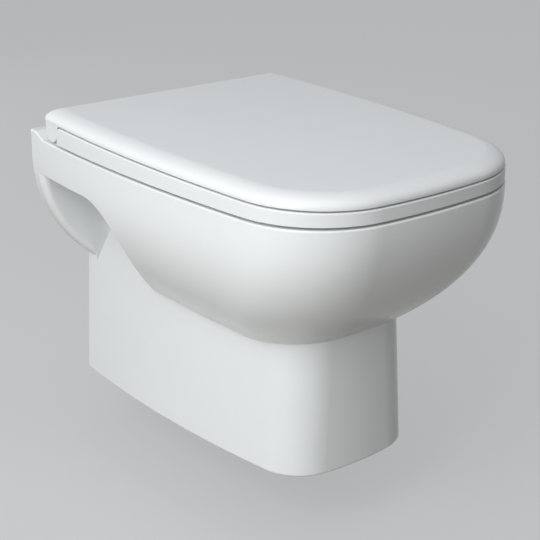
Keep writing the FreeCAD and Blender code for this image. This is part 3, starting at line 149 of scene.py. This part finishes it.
floor_level = cad_box[0].z - FLOOR_BELOW
floor_corners = [(side * FLOOR_HALF, end * FLOOR_HALF, floor_level)
                 for side, end in ((-1, -1), (1, -1), (1, 1), (-1, 1))]
floor_mesh = bpy.data.meshes.new("floor")
floor_mesh.from_pydata(floor_corners, [], [(0, 1, 2, 3)])
floor = bpy.data.objects.new("floor", floor_mesh)
bpy.context.scene.collection.objects.link(floor)
floor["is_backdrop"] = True

floor_paint = bpy.data.materials.new("floor_paint")
floor_paint.use_nodes = True
tree = floor_paint.node_tree
shader = tree.nodes["Principled BSDF"]
feed(tree, shader.inputs["Base Color"], eye_or_bounce(tree, FLOOR_SEEN, FLOOR_BOUNCE))
feed(tree, shader.inputs["Emission Color"], eye_or_bounce(tree, GLOW_SEEN, GLOW_BOUNCE))
shader.inputs["Emission Strength"].default_value = GLOW_STRENGTH
shader.inputs["Roughness"].default_value = 0.9
shader.inputs["Specular IOR Level"].default_value = 0.2
floor_mesh.materials.append(floor_paint)
print("floor at", round(floor_level, 3))

# %% [markdown]
# ## Light
# Sanitary ware is photographed under large soft lamps from one side, so that the round bowl shades
# slowly from white to grey. A big disk high on the left is the main lamp. A second one low on the left
# lights the flanks that turn down, where the first one only grazes. Weak ones from the front, from above
# and from behind and a dim sky keep the lid even and the far sides readable. To the eye the sky has the
# tone of the floor, so that floor and sky run into each other.

# %% Light
BOWL_MIDDLE = (0, -0.26, -0.05)
LAMPS = {
    "key": {"place": (-1.75, -0.75, 1.45), "size": 1.3, "power": 21},
    "low_left": {"place": (-1.9, -1.0, 0.32), "size": 1.0, "power": 15.5},
    "front": {"place": (-1.3, -1.9, 1.0), "size": 1.3, "power": 4},
    "top": {"place": (-0.4, -0.4, 2.0), "size": 1.6, "power": 7.5},
    "behind": {"place": (-0.4, 2.2, 0.1), "size": 1.6, "power": 9},
}
SKY_SEEN = (0.445, 0.455, 0.465, 1)
SKY_BOUNCE = (0.28, 0.284, 0.292, 1)


def softbox(name, place, size, power):
    """A round soft lamp that is turned to the bowl and isn't seen itself."""
    data = bpy.data.lights.new(name, "AREA")
    data.shape = "DISK"
    data.size = size
    data.energy = power
    lamp = bpy.data.objects.new(name, data)
    lamp.location = place
    lamp.rotation_euler = (Vector(BOWL_MIDDLE) - Vector(place)).to_track_quat("-Z", "Y").to_euler()
    lamp.visible_camera = False
    bpy.context.scene.collection.objects.link(lamp)


for lamp_name, lamp_values in LAMPS.items():
    softbox(lamp_name, **lamp_values)
world = bpy.data.worlds.new("studio")
world.use_nodes = True
sky = world.node_tree
feed(sky, sky.nodes["Background"].inputs["Color"], eye_or_bounce(sky, SKY_SEEN, SKY_BOUNCE))
bpy.context.scene.world = world
bpy.context.scene.view_settings.view_transform = "Standard"
print("lamps:", [item.name for item in bpy.data.lights])

# %% [markdown]
# ## Tools for the finishes
# No real surface has one single colour. Several finishes share a few effects, so each effect is a node
# group that is built once and then placed in every material with its own values. The groups read Object
# coordinates, which stay with a piece when it moves.

# %% Helpers for the shared effects
def group(name, inputs, outputs):
    """An empty shader group with named sockets, and its input and output nodes."""
    tree = bpy.data.node_groups.new(name, "ShaderNodeTree")
    for label, kind, value in inputs:
        socket = tree.interface.new_socket(label, in_out="INPUT", socket_type="NodeSocket" + kind)
        socket.default_value = value
    for label, kind in outputs:
        tree.interface.new_socket(label, in_out="OUTPUT", socket_type="NodeSocket" + kind)
    return tree, tree.nodes.new("NodeGroupInput"), tree.nodes.new("NodeGroupOutput")


def noise(tree, vector, scale, detail=2.0):
    """Soft random values between 0 and 1 over the surface."""
    return add(tree, "ShaderNodeTexNoise", Vector=vector, Scale=scale, Detail=detail).outputs["Fac"]


def spread(tree, value, low, high):
    """Stretches the middle of a noise, where most of its values lie, to a range."""
    node = add(tree, "ShaderNodeMapRange", Value=value, From_Min=0.3, From_Max=0.7, To_Min=low, To_Max=high)
    return node.outputs["Result"]


# %% [markdown]
# The first group lets a colour drift a little over a piece, as fired glaze and moulded plastic do. Two
# sizes of noise are enough: a broad one for the whole piece, a small one for the cloudy look close by.

# %% Tone drift
FINER = 9.0
BROAD_SHARE = 0.7
drift, drift_in, drift_out = group(
    "tone_drift",
    [("Colour", "Color", (0.8, 0.8, 0.8, 1)), ("Amount", "Float", 0.02), ("Scale", "Float", 6.0)],
    [("Colour", "Color")])
place = add(drift, "ShaderNodeTexCoord").outputs["Object"]
broad = noise(drift, place, drift_in.outputs["Scale"])
close_by = noise(drift, place, sums(drift, "MULTIPLY", drift_in.outputs["Scale"], FINER))
both_sizes = sums(drift, "ADD", sums(drift, "MULTIPLY", broad, BROAD_SHARE),
                  sums(drift, "MULTIPLY", close_by, 1 - BROAD_SHARE))
low = sums(drift, "SUBTRACT", 1.0, drift_in.outputs["Amount"])
high = sums(drift, "ADD", 1.0, drift_in.outputs["Amount"])
shade = spread(drift, both_sizes, low, high)
drifted = blend_colour(drift, 1.0, drift_in.outputs["Colour"], shade, "MULTIPLY")
drift.links.new(drifted, drift_out.inputs["Colour"])
print("group", drift.name, "with", len(drift.nodes), "nodes")

# %% [markdown]
# The second group is the skin of a surface: long, very shallow waves and fine pebbles on top of them. On
# glaze this is the "orange peel" that makes reflections swim; on moulded plastic the pebbles are the
# grain of the mould. It also gives a mask of handling marks, which a material can use to vary its gloss.

# %% Skin
SMEAR_SCALE = 23.0
skin, skin_in, skin_out = group(
    "skin",
    [("Wave scale", "Float", 14.0), ("Pebble scale", "Float", 500.0), ("Pebbles", "Float", 0.2)],
    [("Height", "Float"), ("Marks", "Float")])
place = add(skin, "ShaderNodeTexCoord").outputs["Object"]
waves = noise(skin, place, skin_in.outputs["Wave scale"], detail=1.0)
pebbles = noise(skin, place, skin_in.outputs["Pebble scale"])
pebble_height = sums(skin, "MULTIPLY", pebbles, skin_in.outputs["Pebbles"])
skin.links.new(sums(skin, "ADD", waves, pebble_height), skin_out.inputs["Height"])
smears = noise(skin, place, SMEAR_SCALE, detail=4.0)
skin.links.new(spread(skin, smears, 0.0, 1.0), skin_out.inputs["Marks"])
print("group", skin.name, "with", len(skin.nodes), "nodes")

# %% [markdown]
# The third group is for metal that was turned, pressed or brushed: noise that is squeezed along one
# direction becomes fine parallel scratches.

# %% Brush lines
lines, lines_in, lines_out = group(
    "brush_lines",
    [("Stretch", "Vector", (1.0, 1.0, 60.0)), ("Scale", "Float", 90.0)],
    [("Height", "Float"), ("Lines", "Float")])
place = add(lines, "ShaderNodeTexCoord").outputs["Object"]
squeezed = add(lines, "ShaderNodeVectorMath", {"operation": "MULTIPLY"})
feed(lines, squeezed.inputs[0], place)
feed(lines, squeezed.inputs[1], lines_in.outputs["Stretch"])
scratches = noise(lines, squeezed.outputs[0], lines_in.outputs["Scale"], detail=3.0)
lines.links.new(scratches, lines_out.inputs["Height"])
lines.links.new(spread(lines, scratches, 0.0, 1.0), lines_out.inputs["Lines"])
print("group", lines.name, "with", len(lines.nodes), "nodes")

# %% [markdown]
# Every finish starts in the same way: a new material, its constant values, the shared groups, a bump for
# the skin, and the pieces that wear it. Four short functions do that.

# %% Helpers to start a material and to dress a CAD node
def finish(name, **constants):
    """A new material and its shader; what is the same all over is set on the shader itself."""
    material = bpy.data.materials.new(name)
    material.use_nodes = True
    shader = material.node_tree.nodes["Principled BSDF"]
    for socket, value in constants.items():
        shader.inputs[socket.replace("_", " ")].default_value = value
    return material, material.node_tree, shader


def use(tree, shared, **inputs):
    """Places a shared group in a material."""
    return add(tree, "ShaderNodeGroup", {"node_tree": shared}, **inputs)


def bump(tree, shader, height, depth, strength):
    """Turns a height over the surface into tilted normals."""
    node = add(tree, "ShaderNodeBump", Height=height, Distance=depth, Strength=strength)
    tree.links.new(node.outputs["Normal"], shader.inputs["Normal"])


def dress(material, *names):
    """Gives CAD nodes their finish."""
    for name in names:
        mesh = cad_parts[name].data
        mesh.materials.clear()
        mesh.materials.append(material)
    print(material.name, "on", ", ".join(names))


# %% [markdown]
# ## Glazed ceramic
# The pan is slip cast in one piece, sprayed with white glaze and fired. The glaze covers all that can be
# seen, but the face that meets the wall and the foot of the trap housing stand on the kiln shelf or are
# ground flat, so there the biscuit shows, matt and warmer. Two masks from the Object position, one per
# direction, tell the shader where that is: everything within a fraction of a millimetre of the wall
# plane or of the lowest plane.

# %% White glaze with bare biscuit at wall and foot
BARE_DEPTH = 0.0006
GLAZE_WHITE = (0.832, 0.862, 0.872, 1)
BISCUIT = (0.80, 0.785, 0.75, 1)
GLAZE_ROUGH = (0.16, 0.22)
BISCUIT_ROUGHER = 0.6

glaze, tree, shader = finish("white_glaze", IOR=1.52)
where = add(tree, "ShaderNodeSeparateXYZ", Vector=add(tree, "ShaderNodeTexCoord").outputs["Object"])
low_corner, high_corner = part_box("ceramic_pan")
at_wall = sums(tree, "GREATER_THAN", where.outputs["Y"], high_corner[1] - BARE_DEPTH)
at_foot = sums(tree, "LESS_THAN", where.outputs["Z"], low_corner[2] + BARE_DEPTH)
bare = sums(tree, "MAXIMUM", at_wall, at_foot)
white = use(tree, drift, Colour=GLAZE_WHITE, Amount=0.012, Scale=5.0).outputs["Colour"]
clay = use(tree, drift, Colour=BISCUIT, Amount=0.06, Scale=22.0).outputs["Colour"]
tree.links.new(blend_colour(tree, bare, white, clay), shader.inputs["Base Color"])
glaze_skin = use(tree, skin, Wave_scale=16.0, Pebble_scale=420.0, Pebbles=0.05)
glaze_rough = spread(tree, glaze_skin.outputs["Marks"], *GLAZE_ROUGH)
bare_rough = sums(tree, "MULTIPLY", bare, BISCUIT_ROUGHER)
tree.links.new(sums(tree, "ADD", glaze_rough, bare_rough), shader.inputs["Roughness"])
bump(tree, shader, glaze_skin.outputs["Height"], depth=0.0004, strength=0.35)
dress(glaze, "ceramic_pan")

# %% [markdown]
# ## Seat and lid
# Both are pressed from a hard white plastic that is chosen to match the glaze, and polished. Against
# ceramic it is a touch less glossy, with flatter waves and the faintest pebble of the press mould.

# %% White seat plastic
SEAT_WHITE = (0.818, 0.846, 0.854, 1)
SEAT_ROUGH = (0.31, 0.35)

seat_plastic, tree, shader = finish("seat_plastic", IOR=1.48, Specular_IOR_Level=0.4)
colour = use(tree, drift, Colour=SEAT_WHITE, Amount=0.008, Scale=4.0).outputs["Colour"]
tree.links.new(colour, shader.inputs["Base Color"])
press_skin = use(tree, skin, Wave_scale=9.0, Pebble_scale=900.0, Pebbles=0.02)
tree.links.new(spread(tree, press_skin.outputs["Marks"], *SEAT_ROUGH), shader.inputs["Roughness"])
bump(tree, shader, press_skin.outputs["Height"], depth=0.0002, strength=0.25)
dress(seat_plastic, "seat", "lid")

# %% [markdown]
# ## Moulded plastics
# Housings, bridge, buttons, damper cartridges and the sleeves of the wall studs are injection moulded, so
# they get the pebbled grain of an eroded mould. Only colour, gloss and the depth of the grain change, so
# one function makes all of these finishes.

# %% Moulded plastics
ROUGH_RANGE = 0.06


def moulded(name, names, colour, rough, grain):
    """An injection moulded finish with an eroded grain."""
    material, tree, shader = finish(name, IOR=1.49)
    tint = use(tree, drift, Colour=colour, Amount=0.05, Scale=30.0).outputs["Colour"]
    tree.links.new(tint, shader.inputs["Base Color"])
    mould = use(tree, skin, Wave_scale=60.0, Pebble_scale=1800.0, Pebbles=0.8)
    uneven = spread(tree, mould.outputs["Marks"], rough - ROUGH_RANGE, rough + ROUGH_RANGE)
    tree.links.new(uneven, shader.inputs["Roughness"])
    bump(tree, shader, mould.outputs["Height"], depth=grain, strength=0.6)
    dress(material, *names)
    return material


moulded("housing_plastic", ("hinge_housing_right", "hinge_housing_left", "hinge_bridge"),
        colour=(0.36, 0.37, 0.38, 1), rough=0.42, grain=0.0002)
button_plastic = moulded("button_plastic", ("release_button_right", "release_button_left"),
                         colour=(0.17, 0.175, 0.185, 1), rough=0.46, grain=0.0002)
moulded("damper_plastic", ("damper_seat", "damper_lid"),
        colour=(0.012, 0.012, 0.013, 1), rough=0.38, grain=0.00012)
moulded("sleeve_nylon", ("wall_sleeves",), colour=(0.70, 0.70, 0.66, 1), rough=0.4, grain=0.00012)

# %% [markdown]
# ## Metal
# The pegs are chromed. Wall nuts, washers, hinge bolts and damper shafts are plated steel, and the small
# nuts in the hinge plugs are brass. All are fully metallic; what tells them apart is the tint, the gloss
# and the direction of the marks.

# %% Metals
def metal(name, names, colour, rough, stretch):
    """A metal whose gloss follows fine tool marks."""
    material, tree, shader = finish(name, Metallic=1.0)
    tint = use(tree, drift, Colour=colour, Amount=0.06, Scale=45.0).outputs["Colour"]
    tree.links.new(tint, shader.inputs["Base Color"])
    marks = use(tree, lines, Stretch=stretch, Scale=80.0)
    tree.links.new(spread(tree, marks.outputs["Lines"], *rough), shader.inputs["Roughness"])
    bump(tree, shader, marks.outputs["Height"], depth=0.00005, strength=0.5)
    dress(material, *names)
    return material


metal("peg_chrome", ("hinge_pillars",),
      colour=(0.64, 0.66, 0.68, 1), rough=(0.06, 0.12), stretch=(1.0, 1.0, 20.0))
steel = metal("plated_steel",
              ("wall_nuts", "wall_washers", "hinge_bolts", "damper_shaft_seat", "damper_shaft_lid"),
              colour=(0.45, 0.46, 0.47, 1), rough=(0.24, 0.38), stretch=(1.0, 30.0, 1.0))
metal("plug_brass", ("hinge_nuts",),
      colour=(0.62, 0.44, 0.19, 1), rough=(0.26, 0.4), stretch=(1.0, 1.0, 25.0))

# %% [markdown]
# ## Rubber
# The seal of the flush pipe and the hinge plugs are black rubber, the pads under seat and lid and the
# hinge gaskets a pale soft one. Rubber has almost no shine. Its tone is dusty and uneven, most of all on
# the black one, so the drift is strong there.

# %% Rubbers
RUBBER_ROUGH = (0.66, 0.84)


def rubber(name, names, colour, drifting):
    """A matt rubber with an uneven tone."""
    material, tree, shader = finish(name, IOR=1.45, Specular_IOR_Level=0.25)
    tint = use(tree, drift, Colour=colour, Amount=drifting, Scale=60.0).outputs["Colour"]
    tree.links.new(tint, shader.inputs["Base Color"])
    dull_skin = use(tree, skin, Wave_scale=120.0, Pebble_scale=2500.0, Pebbles=1.0)
    tree.links.new(spread(tree, dull_skin.outputs["Marks"], *RUBBER_ROUGH), shader.inputs["Roughness"])
    bump(tree, shader, dull_skin.outputs["Height"], depth=0.00015, strength=0.6)
    dress(material, *names)
    return material


seal_rubber = rubber("seal_rubber", ("inlet_seal", "hinge_plugs"),
                     colour=(0.016, 0.016, 0.017, 1), drifting=0.25)
rubber("pad_rubber", ("hinge_gaskets", "seat_buffers", "lid_buffers"),
       colour=(0.60, 0.60, 0.57, 1), drifting=0.06)

# %% [markdown]
# ## Details that repeat
# Three details are too fine for the solids but easy to see close by: the thread in the wall nuts, the
# grip ribs on the release buttons and the ridges on the end of the flush seal. Each repeats by a rule, so
# each is a Geometry Nodes tree with named sizes. Three helpers open a tree, close it and run it, which
# leaves a plain mesh.

# %% Helpers for Geometry Nodes
def growing(name, inputs):
    """An empty geometry tree with named inputs, and its input node."""
    tree = bpy.data.node_groups.new(name, "GeometryNodeTree")
    tree.interface.new_socket("Geometry", in_out="INPUT", socket_type="NodeSocketGeometry")
    for label, kind, value in inputs:
        socket = tree.interface.new_socket(label, in_out="INPUT", socket_type="NodeSocket" + kind)
        socket.default_value = value
    tree.interface.new_socket("Geometry", in_out="OUTPUT", socket_type="NodeSocketGeometry")
    return tree, tree.nodes.new("NodeGroupInput")


def close(tree, shape, material):
    """Ends a tree: its instances become real faces and take a material."""
    real = add(tree, "GeometryNodeRealizeInstances", Geometry=shape)
    coat = add(tree, "GeometryNodeSetMaterial", Geometry=real.outputs["Geometry"], Material=material)
    end = tree.nodes.new("NodeGroupOutput")
    tree.links.new(coat.outputs["Geometry"], end.inputs["Geometry"])


def grow(tree, name, body, slot, **values):
    """Runs a tree with the given sizes and keeps the result as a plain mesh that rides on a body."""
    piece = bpy.data.objects.new(name, bpy.data.meshes.new(name))
    bpy.context.scene.collection.objects.link(piece)
    modifier = piece.modifiers.new(name, "NODES")
    modifier.node_group = tree
    for item in tree.interface.items_tree:
        if item.in_out == "INPUT" and item.name.replace(" ", "_") in values:
            modifier[item.identifier] = values[item.name.replace(" ", "_")]
    graph = bpy.context.evaluated_depsgraph_get()
    made = bpy.data.meshes.new_from_object(piece.evaluated_get(graph), depsgraph=graph)
    piece.modifiers.remove(modifier)
    piece.data = made
    made.name = name
    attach(piece, body)
    print(name, "has", len(made.polygons), "faces")


# %% [markdown]
# ### Thread in the wall nuts
# A thread is a ridge that climbs round the bore. A spiral curve gives its path and a small three-sided
# profile its section. The spiral stands upright, so it is turned to lie along the stud and moved into one
# nut. A line of two points then sets one in each nut.

# %% Nut threads
THREAD_PITCH = 0.00175
THREAD_DEPTH = 0.0005
BORE_RADIUS = 0.0066
nut_low, nut_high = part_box("wall_nuts")
nut_corner_radius = (nut_high[2] - nut_low[2]) / 2
nut_flat_radius = nut_corner_radius * math.cos(math.radians(30))
nut_out = nut_high[0] - nut_flat_radius
nut_level = (nut_low[2] + nut_high[2]) / 2
thread_length = nut_high[1] - nut_low[1] - 4 * THREAD_DEPTH

thread, sizes_in = growing("nut_thread", [
    ("Turns", "Float", 5.0), ("Radius", "Float", 0.006), ("Length", "Float", 0.01),
    ("Depth", "Float", 0.0005), ("Apart", "Float", 0.18), ("Middle", "Vector", (0, 0, 0))])
spiral = add(thread, "GeometryNodeCurveSpiral", Resolution=40, Rotations=sizes_in.outputs["Turns"],
             Start_Radius=sizes_in.outputs["Radius"], End_Radius=sizes_in.outputs["Radius"],
             Height=sizes_in.outputs["Length"])
section = add(thread, "GeometryNodeCurvePrimitiveCircle", Resolution=3, Radius=sizes_in.outputs["Depth"])
ridge = add(thread, "GeometryNodeCurveToMesh", Curve=spiral.outputs["Curve"],
            Profile_Curve=section.outputs["Curve"], Fill_Caps=True)
laid = add(thread, "GeometryNodeTransform", Geometry=ridge.outputs["Mesh"],
           Rotation=(math.radians(90), 0, 0), Translation=sizes_in.outputs["Middle"])
step = add(thread, "ShaderNodeCombineXYZ", X=sizes_in.outputs["Apart"])
pair = add(thread, "GeometryNodeMeshLine", {"mode": "OFFSET"}, Count=2, Offset=step.outputs["Vector"])
threads = add(thread, "GeometryNodeInstanceOnPoints", Points=pair.outputs["Mesh"],
              Instance=laid.outputs["Geometry"])
close(thread, threads.outputs["Instances"], steel)
grow(thread, "nut_threads", "pan", "steel_plain", Turns=thread_length / THREAD_PITCH, Radius=BORE_RADIUS,
     Length=thread_length, Depth=THREAD_DEPTH, Apart=2 * nut_out,
     Middle=(-nut_out, nut_high[1] - 2 * THREAD_DEPTH, nut_level))

# %% [markdown]
# ### Grip ribs on the release buttons
# A thumb finds the buttons by their ribs. One round bar is placed on the points of a line across the
# button, half sunk into its face. The same tree serves both sides; only the place of the ribs changes.

# %% Button ribs
RIB_COUNT = 6
RIB_RADIUS = 0.0007
RIB_SHARE_OF_HEIGHT = 0.75
ribs, sizes_in = growing("button_ribs", [
    ("Count", "Int", 6), ("Rib length", "Float", 0.006), ("Radius", "Float", 0.0007),
    ("First", "Vector", (0, 0, 0)), ("Step", "Vector", (0, 0.002, 0))])
bar = add(ribs, "GeometryNodeMeshCylinder", Vertices=10, Radius=sizes_in.outputs["Radius"],
          Depth=sizes_in.outputs["Rib length"])
row = add(ribs, "GeometryNodeMeshLine", {"mode": "OFFSET"}, Count=sizes_in.outputs["Count"],
          Start_Location=sizes_in.outputs["First"], Offset=sizes_in.outputs["Step"])
bars = add(ribs, "GeometryNodeInstanceOnPoints", Points=row.outputs["Mesh"], Instance=bar.outputs["Mesh"])
close(ribs, bars.outputs["Instances"], button_plastic)
for side in ("right", "left"):
    button_low, button_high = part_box("release_button_" + side)
    inner_face = button_low[0] if side == "right" else button_high[0]
    rib_step = (button_high[1] - button_low[1]) / (RIB_COUNT + 1)
    button_level = (button_low[2] + button_high[2]) / 2
    grow(ribs, "button_ribs_" + side, "button_" + side, "button_grey", Count=RIB_COUNT, Radius=RIB_RADIUS,
         Rib_length=RIB_SHARE_OF_HEIGHT * (button_high[2] - button_low[2]),
         First=(inner_face, button_low[1] + rib_step, button_level), Step=(0, rib_step, 0))

# %% [markdown]
# ### Ridges on the flush seal
# The open end of the rubber ring carries low round ridges that a thumb presses when the ring goes in.
# Circles of growing radius are swept with a small round section. The ridges share one rule: each is a
# step wider than the one inside it.

# %% Seal ridges
RIDGE_COUNT = 3
RIDGE_RADIUS = 0.0005
SEAL_BORE_RADIUS = 0.0226
seal_low, seal_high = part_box("inlet_seal")
seal_outside = (seal_high[0] - seal_low[0]) / 2
seal_level = (seal_low[2] + seal_high[2]) / 2
ridge_step = (seal_outside - SEAL_BORE_RADIUS) / (RIDGE_COUNT + 1)

ridges, sizes_in = growing("seal_ridges", [
    ("Inner", "Float", 0.02), ("Step", "Float", 0.001), ("Round", "Float", 0.0005),
    ("Middle", "Vector", (0, 0, 0))])
joined = ridges.nodes.new("GeometryNodeJoinGeometry")
section = add(ridges, "GeometryNodeCurvePrimitiveCircle", Resolution=8, Radius=sizes_in.outputs["Round"])
for number in range(RIDGE_COUNT):
    outward = sums(ridges, "MULTIPLY", sizes_in.outputs["Step"], float(number + 1))
    wide = sums(ridges, "ADD", sizes_in.outputs["Inner"], outward)
    hoop = add(ridges, "GeometryNodeCurvePrimitiveCircle", Resolution=96, Radius=wide)
    swept = add(ridges, "GeometryNodeCurveToMesh", Curve=hoop.outputs["Curve"],
                Profile_Curve=section.outputs["Curve"])
    ridges.links.new(swept.outputs["Mesh"], joined.inputs["Geometry"])
upright = add(ridges, "GeometryNodeTransform", Geometry=joined.outputs["Geometry"],
              Rotation=(math.radians(90), 0, 0), Translation=sizes_in.outputs["Middle"])
close(ridges, upright.outputs["Geometry"], seal_rubber)
grow(ridges, "seal_ridges", "pan", "rubber_black", Inner=SEAL_BORE_RADIUS, Step=ridge_step,
     Round=RIDGE_RADIUS, Middle=(0, seal_high[1], seal_level))

# %% [markdown]
# ## Last check
# The finished model must be as large as the solids and no larger, so for the low and the high corner of
# the two boxes the largest difference is printed.

# %% Sizes and finish
seen_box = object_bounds()
growth = [max(abs(a - b) for a, b in zip(*corners)) for corners in zip(cad_box, seen_box)]
print("grown by", [round(length, 5) for length in growth], "m")
